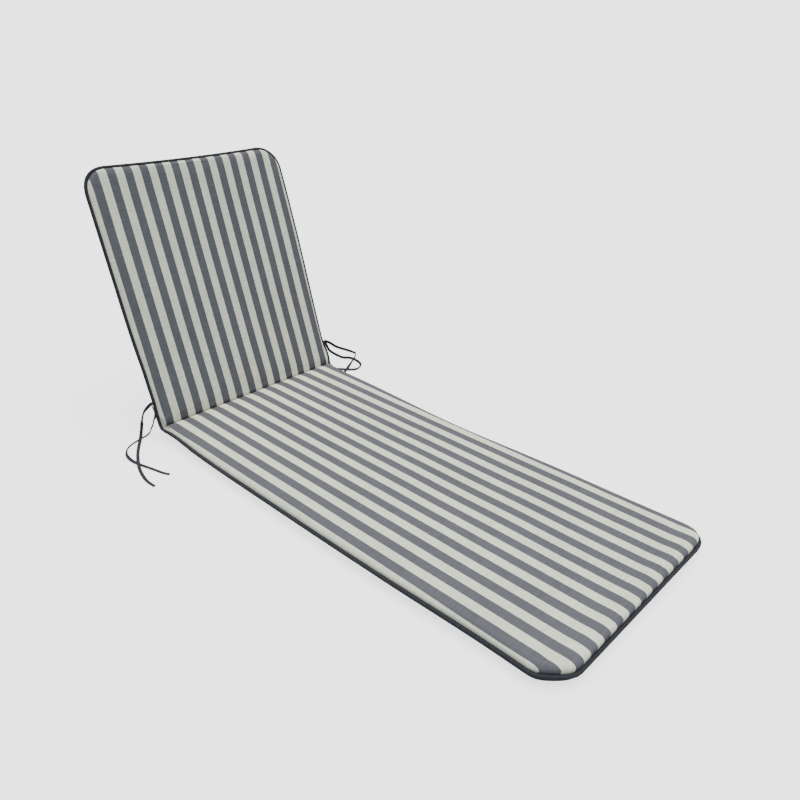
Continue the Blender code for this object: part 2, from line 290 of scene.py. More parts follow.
    def crown_path(self, share: float) -> Vector:
        """Seat half of the crown, which rolls down into the sewn crease.

        Args:
            share: 0 where the fold begins, 1 in its middle.

        Returns:
            The point, measured from the crease point.
        """
        seam = self.into_fold * (self.seam_sink / math.cos(self.half_turn))
        radius = -seam.z / (1.0 - math.cos(self.seam_roll))
        roll_start = seam.y - radius * math.sin(self.seam_roll)
        straight = self.crease_reach + roll_start
        run = share * (straight + radius * self.seam_roll)
        if run <= straight:
            return Vector((0.0, run - self.crease_reach, 0.0))
        angle = (run - straight) / radius
        rise = radius * (math.cos(angle) - 1.0)
        return Vector((0.0, roll_start + radius * math.sin(angle), rise))

    def fold(self, x: float, s: float, h: float) -> Vector:
        """Bend a point of the flat layout into the seat, the fold or the back.

        Args:
            x: place across the cushion.
            s: place along its top cloth.
            h: depth below the crown, negative above it.

        Returns:
            The point in the frame of the part.
        """
        x, s = self.settle(x, s)
        if abs(s) >= self.crease_reach:
            point = Vector((0.0, s, -h)) if s < 0.0 else self.along_back * s - self.out_of_back * h
            return self.crease_point + point + Vector((x, 0.0, 0.0))
        share = 1.0 - abs(s) / self.crease_reach
        if h >= self.cord_depth:
            point = self.buried_path(h, share)
        else:
            crown = self.crown_path(share)
            point = crown.lerp(self.buried_path(self.cord_depth, share), h / self.cord_depth)
        if s > 0.0:
            point = point - self.across_fold * (2.0 * point.dot(self.across_fold))
        return self.crease_point + point + Vector((x, 0.0, 0.0))

    def cord_depth_at(self, s: float) -> float:
        """Depth of the cord's middle, which sits lower along the thick seat."""
        share = min(max((-s - self.cord_drop_start) / self.cord_drop_length, 0.0), 1.0)
        return self.cord_depth + self.cord_drop_on_seat * share * share * (3.0 - 2.0 * share)

    def flare_at(self, x: float, s: float) -> float:
        """How much further the cord stands out beside the crease, on the right side.

        Args:
            x: place across the cushion.
            s: place along the cushion.

        Returns:
            The distance, 0 on the left side.
        """
        if x < 0.0:
            return 0.0
        along_back = self.cord_stand_out / (1.0 + math.exp(-s / self.crease_reach))
        beside_crease = hump(s - self.cord_flare_middle, self.cord_flare_length)
        return along_back + self.cord_flare * beside_crease

    def foot_share(self, s: float) -> float:
        """From 0 along the sides and the head to 1 at the foot edge."""
        past = -s - (self.seat_length - self.corner_radius)
        return min(max(past / self.corner_radius, 0.0), 1.0) ** 2

    def roll_at(self, s: float) -> tuple[float, float]:
        """How the crown rolls down to its seam.

        Args:
            s: place along the cushion.

        Returns:
            The radius of the roll, and how far in from the seam it ends.
        """
        share = self.foot_share(s)
        radius = self.crown_roll + (self.crown_roll_at_foot - self.crown_roll) * share
        return radius, self.roll_start + (self.roll_start_at_foot - self.roll_start) * share

    def thickness_at(self, s: float) -> float:
        """Full thickness, less where the crease pulls the underside in."""
        return self.thickness - self.rear_groove_depth * hump(s, self.rear_groove_width)

    def hollow_at(self, x: float, s: float) -> float:
        """How far the face of the back sinks between its two sides.

        Args:
            x: place across the cushion.
            s: place along the cushion.

        Returns:
            The depth, 0 on the seat.
        """
        if s <= 0.0:
            return 0.0
        across = 1.0 - (x / (self.half_width - self.crown_roll)) ** 2
        along = math.sqrt(math.sin(math.pi * min(s / self.back_length, 1.0)))
        return self.back_hollow * max(across, 0.0) * along


@dataclass(frozen=True)
class StripedCloth:
    """Woven outdoor cloth in even stripes that run the length of the cushion."""

    cream: tuple[float, float, float] = (0.64, 0.631, 0.505)
    grey: tuple[float, float, float] = (0.090, 0.0912, 0.1020)
    repeat: float = 0.046
    grey_width: float = 0.02396
    grey_middle: float = 0.00243
    edge_blur: float = 0.0009
    yarn: float = 0.0011
    roughness: float = 0.88


@dataclass(frozen=True)
class BindingCloth:
    """Plain dark cloth of the corded edge, the underside and the tie tapes."""

    name: str
    colour: tuple[float, float, float] = (0.024, 0.0248, 0.031)
    yarn: float = 0.0009
    roughness: float = 0.82


Feed = float | tuple[float, ...] | Vector | bpy.types.NodeSocket


class Bench:
    """Adds and joins the nodes of one tree, where a feed is a constant or another node's output."""

    def __init__(self, tree: bpy.types.NodeTree) -> None:
        """Keep the tree that the nodes go into."""
        self.tree = tree

    def add(self, kind: str, **settings: object) -> bpy.types.Node:
        """A new node.

        Args:
            kind: the node's type.
            settings: its settings by name.

        Returns:
            The node.
        """
        node = self.tree.nodes.new(kind)
        for name, value in settings.items():
            setattr(node, name, value)
        return node

    def feed(self, socket: bpy.types.NodeSocket, value: Feed) -> None:
        """Give an input its value.

        Args:
            socket: the input.
            value: a constant or another node's output.
        """
        if isinstance(value, bpy.types.NodeSocket):
            self.tree.links.new(value, socket)
        else:
            socket.default_value = value

    def maths(self, operation: str, *values: Feed) -> bpy.types.NodeSocket:
        """The result of a Math node.

        Args:
            operation: the node's operation.
            values: its inputs, numbers or sockets.

        Returns:
            The node's output.
        """
        node = self.add("ShaderNodeMath", operation=operation)
        for socket, value in zip(node.inputs, values):
            self.feed(socket, value)
        return node.outputs[0]

    def remap(self, value: Feed, low: float, high: float, new_low: float,
              new_high: float) -> bpy.types.NodeSocket:
        """A value moved smoothly from one range to another, and held inside the new one.

        Args:
            value: what to move.
            low: where the old range starts.
            high: where it ends.
            new_low: where the new range starts.
            new_high: where it ends.

        Returns:
            The node's output.
        """
        node = self.add("ShaderNodeMapRange", interpolation_type="SMOOTHSTEP")
        for socket, number in zip(node.inputs, (value, low, high, new_low, new_high)):
            self.feed(socket, number)
        return node.outputs[0]

    def blend(self, share: Feed, low: Feed, high: Feed, how: str = "MIX") -> bpy.types.NodeSocket:
        """Two colours put together.

        Args:
            share: how much of the second colour counts.
            low: the first colour.
            high: the second colour.
            how: the node's way of blending.

        Returns:
            The node's output.
        """
        node = self.add("ShaderNodeMix", data_type="RGBA", blend_type=how)
        self.feed(node.inputs["Factor"], share)
        self.feed(node.inputs[6], low)
        self.feed(node.inputs[7], high)
        return node.outputs[2]

    def noise(self, place: Feed, scale: float, detail: float) -> bpy.types.NodeSocket:
        """Smooth noise from 0 to 1.

        Args:
            place: where to read it.
            scale: how many ripples there are in a metre.
            detail: how many finer layers lie on it.

        Returns:
            The node's output.
        """
        node = self.add("ShaderNodeTexNoise")
        self.feed(node.inputs["Vector"], place)
        node.inputs["Scale"].default_value = scale
        node.inputs["Detail"].default_value = detail
        return node.outputs["Fac"]

    def place(self, x: Feed, y: Feed, z: Feed = 0.0) -> bpy.types.NodeSocket:
        """A vector, or a colour.

        Args:
            x: its first part.
            y: its second part.
            z: its third part.

        Returns:
            The node's output.
        """
        node = self.add("ShaderNodeCombineXYZ")
        for socket, value in zip(node.inputs, (x, y, z)):
            self.feed(socket, value)
        return node.outputs[0]


class ClothEffects:
    """Node groups that the cloth materials share."""

    YARN_ROUNDING = 0.4
    FLECK_SCALE = 320.0
    FLECK_STRETCH = 10.0
    SHADE_SCALE = 7.0
    STREAK_SCALE = 420.0
    STREAK_STRETCH = 14.0

    def __init__(self, shape: PadShape) -> None:
        """Make each group once.

        Args:
            shape: the cushion, for the plane of its fold.
        """
        self.laid_flat = self._laid_flat(shape)
        self.weave = self._weave()
        self.ageing = self._ageing()

    @staticmethod
    def _new_group(
        name: str, inputs: dict[str, str], outputs: dict[str, str]
    ) -> tuple[bpy.types.NodeTree, Bench, bpy.types.Node, bpy.types.Node]:
        """An empty node group with its sockets.

        Args:
            name: the group's name.
            inputs: type of each input by name.
            outputs: type of each output by name.

        Returns:
            The group, its bench, its input node and its output node.
        """
        group = bpy.data.node_groups.new(name, "ShaderNodeTree")
        for title, kind in inputs.items():
            group.interface.new_socket(title, in_out="INPUT", socket_type=kind)
        for title, kind in outputs.items():
            group.interface.new_socket(title, in_out="OUTPUT", socket_type=kind)
        bench = Bench(group)
        return group, bench, bench.add("NodeGroupInput"), bench.add("NodeGroupOutput")

    def _laid_flat(self, shape: PadShape) -> bpy.types.NodeTree:
        """Where a point of the bent cushion lies on the cloth when it is laid out flat.

        Args:
            shape: the cushion, for the plane of its fold.

        Returns:
            The group.
        """
        group, bench, given, result = self._new_group(
            "laid flat",
            {"Position": "NodeSocketVector"},
            {"Across": "NodeSocketFloat", "Along": "NodeSocketFloat"},
        )
        shifted = bench.add("ShaderNodeVectorMath", operation="SUBTRACT")
        bench.feed(shifted.inputs[0], given.outputs["Position"])
        shifted.inputs[1].default_value = shape.crease_point
        runs = []
        for direction in (shape.across_fold, Vector((0.0, 1.0, 0.0)), shape.along_back):
            dot = bench.add("ShaderNodeVectorMath", operation="DOT_PRODUCT")
            bench.feed(dot.inputs[0], shifted.outputs[0])
            dot.inputs[1].default_value = direction
            runs.append(dot.outputs["Value"])
        past_fold, seat_run, back_run = runs
        on_back = bench.maths("GREATER_THAN", past_fold, 0.0)
        on_seat = bench.maths("SUBTRACT", 1.0, on_back)
        along = bench.maths("ADD", bench.maths("MULTIPLY", on_back, back_run),
                            bench.maths("MULTIPLY", on_seat, seat_run))
        split = bench.add("ShaderNodeSeparateXYZ")
        bench.feed(split.inputs[0], shifted.outputs[0])
        bench.feed(result.inputs["Across"], split.outputs["X"])
        bench.feed(result.inputs["Along"], along)
        return group

    def _weave(self) -> bpy.types.NodeTree:
        """Plain weave with a heavier crossways yarn, which gives the cloth its fine ribs.

        Returns:
            The group.
        """
        group, bench, given, result = self._new_group(
            "yarn weave",
            dict.fromkeys(("Across", "Along", "Yarn", "Rib"), "NodeSocketFloat"),
            dict.fromkeys(("Height", "Light Yarn", "Fleck"), "NodeSocketFloat"),
        )
        turns = []
        for title, width in (("Across", "Yarn"), ("Along", "Rib")):
            yarns = bench.maths("DIVIDE", given.outputs[title], given.outputs[width])
            turns.append(bench.maths("MULTIPLY", yarns, math.pi))
        warp, weft = (bench.maths("SINE", turn) for turn in turns)
        over = bench.maths("GREATER_THAN", bench.maths("MULTIPLY", warp, weft), 0.0)
        warp, weft = (bench.maths("ABSOLUTE", wave) for wave in (warp, weft))
        warp_up = bench.maths("MULTIPLY", warp, bench.maths("POWER", weft, self.YARN_ROUNDING))
        weft_up = bench.maths("MULTIPLY", bench.maths("POWER", warp, self.YARN_ROUNDING), weft)
        under = bench.maths("SUBTRACT", 1.0, over)
        height = bench.maths("ADD", bench.maths("MULTIPLY", over, warp_up),
                             bench.maths("MULTIPLY", under, weft_up))
        drawn_out = bench.maths("DIVIDE", given.outputs["Across"], self.FLECK_STRETCH)
        stretched = bench.place(drawn_out, given.outputs["Along"])
        bench.feed(result.inputs["Height"], height)
        bench.feed(result.inputs["Light Yarn"], over)
        bench.feed(result.inputs["Fleck"], bench.noise(stretched, self.FLECK_SCALE, 2.0))
        return group

    def _ageing(self) -> bpy.types.NodeTree:
        """Slow unevenness of dye and handling over the whole cloth.

        Returns:
            The group.
        """
        group, bench, given, result = self._new_group(
            "soft unevenness",
            dict.fromkeys(("Across", "Along"), "NodeSocketFloat"),
            dict.fromkeys(("Shade", "Streak"), "NodeSocketFloat"),
        )
        flat = bench.place(given.outputs["Across"], given.outputs["Along"])
        drawn_out = bench.maths("DIVIDE", given.outputs["Along"], self.STREAK_STRETCH)
        long = bench.place(given.outputs["Across"], drawn_out)
        bench.feed(result.inputs["Shade"], bench.noise(flat, self.SHADE_SCALE, 4.0))
        bench.feed(result.inputs["Streak"], bench.noise(long, self.STREAK_SCALE, 1.0))
        return group


class ClothShop:
    """Makes the finished materials of the cushion."""

    ROUGHER_BETWEEN_YARNS = 0.08
    SMOOTHER_ON_YARNS = 0.05
    STRIPED_RELIEF = 0.0005
    BINDING_RELIEF = 0.0004

    def __init__(self, shape: PadShape) -> None:
        """Prepare the shared effects.

        Args:
            shape: the cushion that the cloth is cut for.
        """
        self.effects = ClothEffects(shape)

    @staticmethod
    def _blank(name: str, roughness: float) -> tuple[bpy.types.Material, Bench, bpy.types.Node]:
        """A new material in cloth's usual sheen and gloss.

        Args:
            name: the material's name.
            roughness: its mean roughness.

        Returns:
            The material, the bench of its tree and its Principled shader.
        """
        material = bpy.data.materials.new(name)
        material.use_nodes = True
        shader = material.node_tree.nodes["Principled BSDF"]
        shader.inputs["Roughness"].default_value = roughness
        shader.inputs["Specular IOR Level"].default_value = 0.18
        shader.inputs["Sheen Weight"].default_value = 0.04
        shader.inputs["Sheen Roughness"].default_value = 0.5
        return material, Bench(material.node_tree), shader

    @staticmethod
    def _use(bench: Bench, group: bpy.types.NodeTree, **values: Feed) -> bpy.types.Node:
        """Place a shared group and feed its inputs.

        Args:
            bench: where the group goes.
            group: the group.
            values: what each input is fed, by its name.

        Returns:
            The group's node.
        """
        node = bench.add("ShaderNodeGroup", node_tree=group)
        for name, value in values.items():
            bench.feed(node.inputs[name], value)
        return node

    def _finish(self, bench: Bench, shader: bpy.types.Node, weave: bpy.types.Node,
                roughness: float, depth: float) -> None:
        """Let the weave give the roughness and the bump.

        Args:
            bench: bench of the material's tree.
            shader: its Principled shader.
            weave: its weave group.
            roughness: the cloth's mean roughness.
            depth: how far its yarns stand up.
        """
        low, high = roughness - self.SMOOTHER_ON_YARNS, roughness + self.ROUGHER_BETWEEN_YARNS
        bench.feed(shader.inputs["Roughness"],
                   bench.remap(weave.outputs["Height"], 0.0, 1.0, high, low))
        bump = bench.add("ShaderNodeBump")
        bump.inputs["Strength"].default_value = 0.55
        bump.inputs["Distance"].default_value = depth
        bench.feed(bump.inputs["Height"], weave.outputs["Height"])
        bench.feed(shader.inputs["Normal"], bump.outputs["Normal"])

    @staticmethod
    def _shade(bench: Bench, colour: Feed, low: float, high: float,
               masks: tuple[tuple[Feed, float, float], ...]) -> bpy.types.NodeSocket:
        """Make a colour uneven by masks, one after another.

        Args:
            bench: bench of the material's tree.
            colour: the even colour.
            low: value of a mask where the colour is darkest.
            high: value of a mask where it is lightest.
            masks: each mask, with what it multiplies the colour by at its low and its high value.

        Returns:
            The uneven colour.
        """
        for mask, darkest, lightest in masks:
            level = bench.remap(mask, low, high, darkest, lightest)
            colour = bench.blend(1.0, colour, bench.place(level, level, level), "MULTIPLY")
        return colour

    def striped(self, cloth: StripedCloth) -> bpy.types.Material:
        """The striped top cloth.

        Args:
            cloth: its colours and sizes.

        Returns:
            The material.
        """
        material, bench, shader = self._blank("striped_cloth_finish", cloth.roughness)
        position = bench.add("ShaderNodeTexCoord").outputs["Object"]
        flat = self._use(bench, self.effects.laid_flat, Position=position)
        across, along = flat.outputs["Across"], flat.outputs["Along"]
        weave = self._use(bench, self.effects.weave, Across=across, Along=along,
                          Yarn=cloth.yarn, Rib=2.0 * cloth.yarn)
        ageing = self._use(bench, self.effects.ageing, Across=across, Along=along)
        fleck = bench.maths("SUBTRACT", weave.outputs["Fleck"], 0.5)
        wander = bench.maths("MULTIPLY", fleck, cloth.edge_blur)
        off_middle = bench.maths("SUBTRACT", across, cloth.grey_middle)
        turns = bench.maths("DIVIDE", off_middle, cloth.repeat)
        from_grey = bench.maths("MULTIPLY", bench.maths("PINGPONG", turns, 0.5), cloth.repeat)
        from_grey = bench.maths("ADD", from_grey, wander)
        half, blur = cloth.grey_width / 2.0, cloth.edge_blur / 2.0
        in_cream = bench.remap(from_grey, half - blur, half + blur, 0.0, 1.0)
        colour = bench.blend(in_cream, (*cloth.grey, 1.0), (*cloth.cream, 1.0))
        colour = self._shade(bench, colour, 0.25, 0.75, (
            (ageing.outputs["Shade"], 0.95, 1.05),
            (ageing.outputs["Streak"], 0.95, 1.05),
            (weave.outputs["Fleck"], 0.90, 1.10),
            (weave.outputs["Light Yarn"], 0.97, 1.03),
        ))
        bench.feed(shader.inputs["Base Color"], colour)
        self._finish(bench, shader, weave, cloth.roughness, self.STRIPED_RELIEF)
        return material

    def binding(self, cloth: BindingCloth, mapped: bool) -> bpy.types.Material:
        """Plain dark cloth, with painted shade between its yarns and painted highlight on their
        tops.

        Args:
            cloth: its name, colour and sizes.
            mapped: whether the weave follows the piece's own map, as on a strip, and not the
                laid out cushion.

        Returns:
            The material.
        """
        material, bench, shader = self._blank(cloth.name, cloth.roughness)
        if mapped:
            split = bench.add("ShaderNodeSeparateXYZ")
            bench.feed(split.inputs[0], bench.add("ShaderNodeUVMap", uv_map=CLOTH_MAP).outputs[0])
            across, along = split.outputs["X"], split.outputs["Y"]
        else:
            position = bench.add("ShaderNodeTexCoord").outputs["Object"]
            flat = self._use(bench, self.effects.laid_flat, Position=position)
            across, along = flat.outputs["Across"], flat.outputs["Along"]
        weave = self._use(bench, self.effects.weave, Across=across, Along=along,
                          Yarn=cloth.yarn, Rib=1.4 * cloth.yarn)
        ageing = self._use(bench, self.effects.ageing, Across=across, Along=along)
        colour = self._shade(bench, (*cloth.colour, 1.0), 0.2, 0.8, (
            (ageing.outputs["Shade"], 0.88, 1.12),
            (weave.outputs["Fleck"], 0.80, 1.20),
            # painted shade in the hollows between the yarns and painted highlight on the yarn tops,
            # from the weave's height
            (weave.outputs["Height"], 0.70, 1.15),
        ))
        bench.feed(shader.inputs["Base Color"], colour)
        self._finish(bench, shader, weave, cloth.roughness, self.BINDING_RELIEF)
        return material


class Sweep:
    """Draws one closed section along a path, with a map of the strip's own length and girth."""

    def __init__(self, name: str, closed: bool) -> None:
        """Start a piece.

        Args:
            name: the piece's name.
            closed: whether the path's end meets its start.
        """
        self.name = name
        self.closed = closed

    def build(self, sections: list[list[Vector]], material: bpy.types.Material) -> bpy.types.Object:
        """Make the mesh.

        Args:
            sections: the points round the strip at each station, all of one count.
            material: the strip's finish.

        Returns:
            The new object, in the scene.
        """
        mesh = bmesh.new()
        layer = mesh.loops.layers.uv.new(CLOTH_MAP)
        rows = [[mesh.verts.new(point) for point in section] for section in sections]
        count = len(rows[0])
        middles = [sum(section, Vector()) / count for section in sections]
        runs = [0.0]
        for before, after in zip(middles, middles[1:] + middles[:1]):
            runs.append(runs[-1] + (after - before).length)
        girths = [0.0]
        for before, after in zip(sections[0], sections[0][1:] + sections[0][:1]):
            girths.append(girths[-1] + (after - before).length)
        last = len(rows) if self.closed else len(rows) - 1
        for j in range(last):
            upper = rows[(j + 1) % len(rows)]
            for i in range(count):
                k = (i + 1) % count
                face = mesh.faces.new((rows[j][i], rows[j][k], upper[k], upper[i]))
                places = ((i, j), (i + 1, j), (i + 1, j + 1), (i, j + 1))
                for corner, (around, along) in zip(face.loops, places):
                    corner[layer].uv = (girths[around], runs[along])
                face.smooth = True
        if not self.closed:
            mesh.faces.new(list(reversed(rows[0])))
            mesh.faces.new(rows[-1])
        bmesh.ops.recalc_face_normals(mesh, faces=mesh.faces)
        data = bpy.data.meshes.new(self.name)
        mesh.to_mesh(data)
        mesh.free()
        data.materials.append(material)
        piece = bpy.data.objects.new(self.name, data)
        bpy.context.scene.collection.objects.link(piece)
        return piece


@dataclass
class FilledCushion:
    """The striped cloth body, filled and sewn down at its crease and its corded edge."""

    shape: PadShape
    row_length: float = 0.014
    columns: int = 36
    corner_steps: int = 9
    crease_steps: int = 11
    crease_crowding: float = 1.3
    underside_reach: float = 0.042
    underside_reach_at_foot: float = 0.022
    fuller_part_ends_at: float = -0.750
    fuller_part_blend: float = 0.060
    crown_pinch: float = 0.008
    flat_insets: tuple[float, ...] = (0.044, 0.031, 0.021, 0.0155)
    roll_steps: tuple[float, ...] = (0.0, 15.0, 32.0, 50.0, 70.0, 90.0)
    groove_steps: tuple[float, ...] = (48.0, 20.0, -10.0, -40.0, -72.0)
    underside_steps: tuple[float, ...] = (15.0, 32.0, 50.0, 68.0, 90.0)
    slack: float = 0.0004
    plump_at_foot: float = 0.0025
    plump_at_left: float = 0.0016
    plump_inset: float = 0.014
    plump_reach: float = 0.026
    most_swell: float = 0.0016
    pressure: float = 2.2
    frames: int = 20
    slow_ripples: Ripples = Ripples(0.0011, 0.17, 1.0)
    quick_ripples: Ripples = Ripples(0.0003, 0.05, 2.0)
    gathers: Ripples = Ripples(0.0010, 0.016, 3.0)
    gather_shortening: float = 0.3
    gather_reach: float = 0.012
    left_scallops: Ripples = Ripples(0.0005, 0.019, 3.0)
    right_scallops: Ripples = Ripples(0.0005, 0.019, 5.0)
    scallop_reach: float = 0.030
    plump_fade_in: float = 0.15

    @property
    def rim_inset(self) -> float:
        """How far in from the seam the flat of the crown and of the underside is filled."""
        return self.flat_insets[0]

    def rows(self) -> list[float]:
        """Stations along the straight sides, closer together towards the crease.

        Returns:
            Their places along the cushion, from the foot to the head.
        """
        shape = self.shape
        foot_side = -shape.seat_length + shape.corner_radius
        head_side = shape.back_length - shape.corner_radius
        reach = shape.crease_reach
        seat_rows = round((-reach - foot_side) / self.row_length)
        back_rows = round((head_side - reach) / self.row_length)
        shares = [i / self.crease_steps for i in range(1, self.crease_steps)]
        crease = [reach * share ** self.crease_crowding for share in shares]
        seat = [foot_side + (-reach - foot_side) * i / seat_rows for i in range(seat_rows + 1)]
        back = [reach + (head_side - reach) * i / back_rows for i in range(back_rows + 1)]
        return seat + [-s for s in reversed(crease)] + [0.0] + crease + back

    def right_stations(self, inset: float) -> list[tuple[float, float]]:
        """Right half of the outline, from the foot edge to the head edge.

        Args:
            inset: how far it lies inside the seam.

        Returns:
            Its points across and along the cushion.
        """
        shape = self.shape
        radius = shape.corner_radius - inset
        straight_x = shape.half_width - shape.corner_radius
        turns = [math.pi / 2.0 * i / self.corner_steps for i in range(self.corner_steps + 1)]
        foot_centre = -shape.seat_length + shape.corner_radius
        head_centre = shape.back_length - shape.corner_radius
        arc = [(radius * math.sin(turn), radius * math.cos(turn)) for turn in turns]
        foot = [(straight_x + sine, foot_centre - cosine) for sine, cosine in arc[:-1]]
        side = [(straight_x + radius, s) for s in self.rows()]
        head = [(straight_x + cosine, head_centre + sine) for sine, cosine in arc[1:]]
        return foot + side + head

    def outline(self, inset: float) -> list[tuple[float, float]]:
        """The whole outline, anticlockwise from the right end of the foot edge.

        Args:
            inset: how far it lies inside the seam.

        Returns:
            Its points across and along the cushion.
        """
        shape = self.shape
        straight_x = shape.half_width - shape.corner_radius
        columns = [straight_x * (1.0 - 2.0 * i / self.columns) for i in range(1, self.columns)]
        right = self.right_stations(inset)
        left = [(-x, s) for x, s in reversed(right)]
        head = [(x, shape.back_length - inset) for x in columns]
        foot = [(-x, -shape.seat_length + inset) for x in columns]
        return right + head + left + foot

    def underside_reach_at(self, s: float) -> float:
        """How far in the underside starts, which is less where it is fuller, near the foot."""
        fuller = 1.0 / (1.0 + math.exp((s - self.fuller_part_ends_at) / self.fuller_part_blend))
        return self.underside_reach + (self.underside_reach_at_foot - self.underside_reach) * fuller

    def edge_section(self, x: float, s: float) -> list[tuple[float, float]]:
        """Section of the edge, from the flat of the crown round to the underside.

        Args:
            x: place of the seam across the cushion.
            s: place of the seam along the cushion.

        Returns:
            Its points, each an inset from the seam and a depth below the crown.
        """
        shape = self.shape
        pinch = min(max(2.0 - 2.0 * abs(s) / shape.crease_reach, 0.0), 1.0)
        groove = shape.cord_radius + shape.cord_clearance
        lip = math.radians(self.groove_steps[-1])
        lip_inset = groove * math.cos(lip) - shape.cord_outset
        roll, roll_start = shape.roll_at(s)
        flare = shape.flare_at(x, s)
        wider_roll = roll - shape.crown_roll
        last = len(self.flat_insets) - 1
        section = [(inset + wider_roll * (i / last), 0.0)
                   for i, inset in enumerate(self.flat_insets)]
        for degrees in self.roll_steps:
            turn = math.radians(degrees)
            inset = max(roll_start + roll * (1.0 - math.sin(turn)), self.crown_pinch * pinch)
            section.append((inset, roll * (1.0 - math.cos(turn))))
        for degrees in self.groove_steps:
            turn = math.radians(degrees)
            inset = groove * math.cos(turn) - shape.cord_outset
            inset = max(inset, (groove - shape.cord_outset) * pinch)
            section.append((inset - flare, shape.cord_depth_at(s) - groove * math.sin(turn)))
        start = shape.cord_depth_at(s) - groove * math.sin(lip)
        reach = self.underside_reach_at(s)
        bottom = shape.thickness_at(s)
        for degrees in self.underside_steps:
            turn = math.radians(degrees)
            inset = reach - (reach - lip_inset) * math.cos(turn)
            section.append((inset, start + (bottom - start) * math.sin(turn)))
        return section + [(self.rim_inset, bottom)]

    def sag_at(self, x: float, s: float) -> float:
        """Small unevenness of the filling under the crown, with gathers beside the crease.

        Args:
            x: place across the cushion.
            s: place along the cushion.

        Returns:
            How far the crown lies below its even height.
        """
        shape = self.shape
        slow = self.slow_ripples.at(x, s)
        quick = self.quick_ripples.at(x, s)
        beside_crease = hump(abs(s) - self.gather_reach, self.gather_reach)
        gathers = self.gathers.at(x, self.gather_shortening * s) * beside_crease
        rim = hump(shape.half_width - abs(x), self.scallop_reach)
        scallops = (self.left_scallops if x < 0.0 else self.right_scallops).at(0.0, s) * rim
        from_foot = s + shape.seat_length
        from_left = x + shape.half_width
        plump = self.plump_at_foot * hump(from_foot - self.plump_inset, self.plump_reach)
        if s < -shape.crease_reach:
            fade_in = min(1.0, (-s - shape.crease_reach) / self.plump_fade_in)
            along_left = hump(from_left - self.plump_inset, self.plump_reach)
            plump = max(plump, self.plump_at_left * fade_in * along_left)
        slack = self.slack * min(1.0, abs(s) / shape.crease_reach)
        return slow + quick + gathers + scallops - plump + slack

    def crown_point(self, x: float, s: float, h: float) -> Vector:
        """A point of the crown or its roll, with its unevenness, fading out down the roll.

        Args:
            x: place across the cushion.
            s: place along the cushion.
            h: depth below the even crown.

        Returns:
            The point in the frame of the part.
        """
        shape = self.shape
        fade = max(0.0, 1.0 - h / shape.roll_at(s)[0])
        hollow = shape.hollow_at(x, s) if h == 0.0 else 0.0
        return shape.fold(x, s, h + self.sag_at(x, s) * fade + hollow)

    def build_cage(self, material: bpy.types.Material,
                   underside: bpy.types.Material) -> bpy.types.Object:
        """Loft the rolled edge and fill the crown and the underside, row by row.

        Args:
            material: finish of the top cloth.
            underside: finish of the cloth below the corded edge.

        Returns:
            The cushion before it is filled out.
        """
        mesh = bmesh.new()
        sewn = mesh.verts.layers.int.new("sewn")
        stations = list(zip(self.outline(0.0), self.outline(self.rim_inset)))
        sections = [self.edge_section(x, s) for (x, s), _ in stations]
        crown_steps = len(self.flat_insets) + len(self.roll_steps)
        rings = []
        for step in range(len(sections[0])):
            point = self.crown_point if step < crown_steps else self.shape.fold
            ring = []
            for section, ((outer_x, outer_s), (inner_x, inner_s)) in zip(sections, stations):
                inset, depth = section[step]
                share = inset / self.rim_inset
                x = outer_x + (inner_x - outer_x) * share
                s = outer_s + (inner_s - outer_s) * share
                vertex = mesh.verts.new(point(x, s, depth))
                vertex[sewn] = 0 if step < crown_steps - 2 and outer_s != 0.0 else 1
                ring.append(vertex)
            rings.append(ring)
        for step, (upper, lower) in enumerate(zip(rings, rings[1:])):
            below_cord = step >= crown_steps + len(self.groove_steps) // 2
            for i in range(len(upper)):
                j = (i + 1) % len(upper)
                face = mesh.faces.new((upper[i], upper[j], lower[j], lower[i]))
                face.material_index = 1 if below_cord else 0
        self._fill_face(mesh, rings[0], sewn, top=True)
        self._fill_face(mesh, rings[-1], sewn, top=False)
        bmesh.ops.recalc_face_normals(mesh, faces=mesh.faces)
        data = bpy.data.meshes.new("striped_cushion")
        mesh.to_mesh(data)
        mesh.free()
        data.materials.append(material)
        data.materials.append(underside)
        data.shade_smooth()
        piece = bpy.data.objects.new("striped_cushion", data)
        bpy.context.scene.collection.objects.link(piece)
        return piece

    def _fill_face(self, mesh: bmesh.types.BMesh, rim: list[bmesh.types.BMVert],
                   sewn: bmesh.types.BMLayerItem, top: bool) -> None:
        """Fill the crown or the underside inside its rim.

        Args:
            mesh: the cushion.
            rim: the rim's points, in the order of the outline.
            sewn: mark of the points that the filling can't move.
            top: whether this is the crown.
        """
        shape = self.shape
        count = len(self.right_stations(0.0))
        head = rim[count:count + self.columns - 1]
        left = list(reversed(rim[count + self.columns - 1:2 * count + self.columns - 1]))
        foot = list(reversed(rim[2 * count + self.columns - 1:]))
        inner_right = self.right_stations(self.rim_inset)
        grid = [[rim[0]] + foot + [left[0]]]
        for row in range(1, count - 1):
            x_right, s = inner_right[row]
            line = [rim[row]]
            for column in range(1, self.columns):
                x = x_right * (1.0 - 2.0 * column / self.columns)
                vertex = mesh.verts.new(self.crown_point(x, s, 0.0) if top
                                        else shape.fold(x, s, shape.thickness_at(s)))
                vertex[sewn] = 1 if s == 0.0 or not top else 0
                line.append(vertex)
            grid.append(line + [left[row]])
        grid.append([rim[count - 1]] + head + [left[-1]])
        for lower, upper in zip(grid, grid[1:]):
            for i in range(self.columns):
                face = mesh.faces.new((lower[i], upper[i], upper[i + 1], lower[i + 1]))
                face.material_index = 0 if top else 1

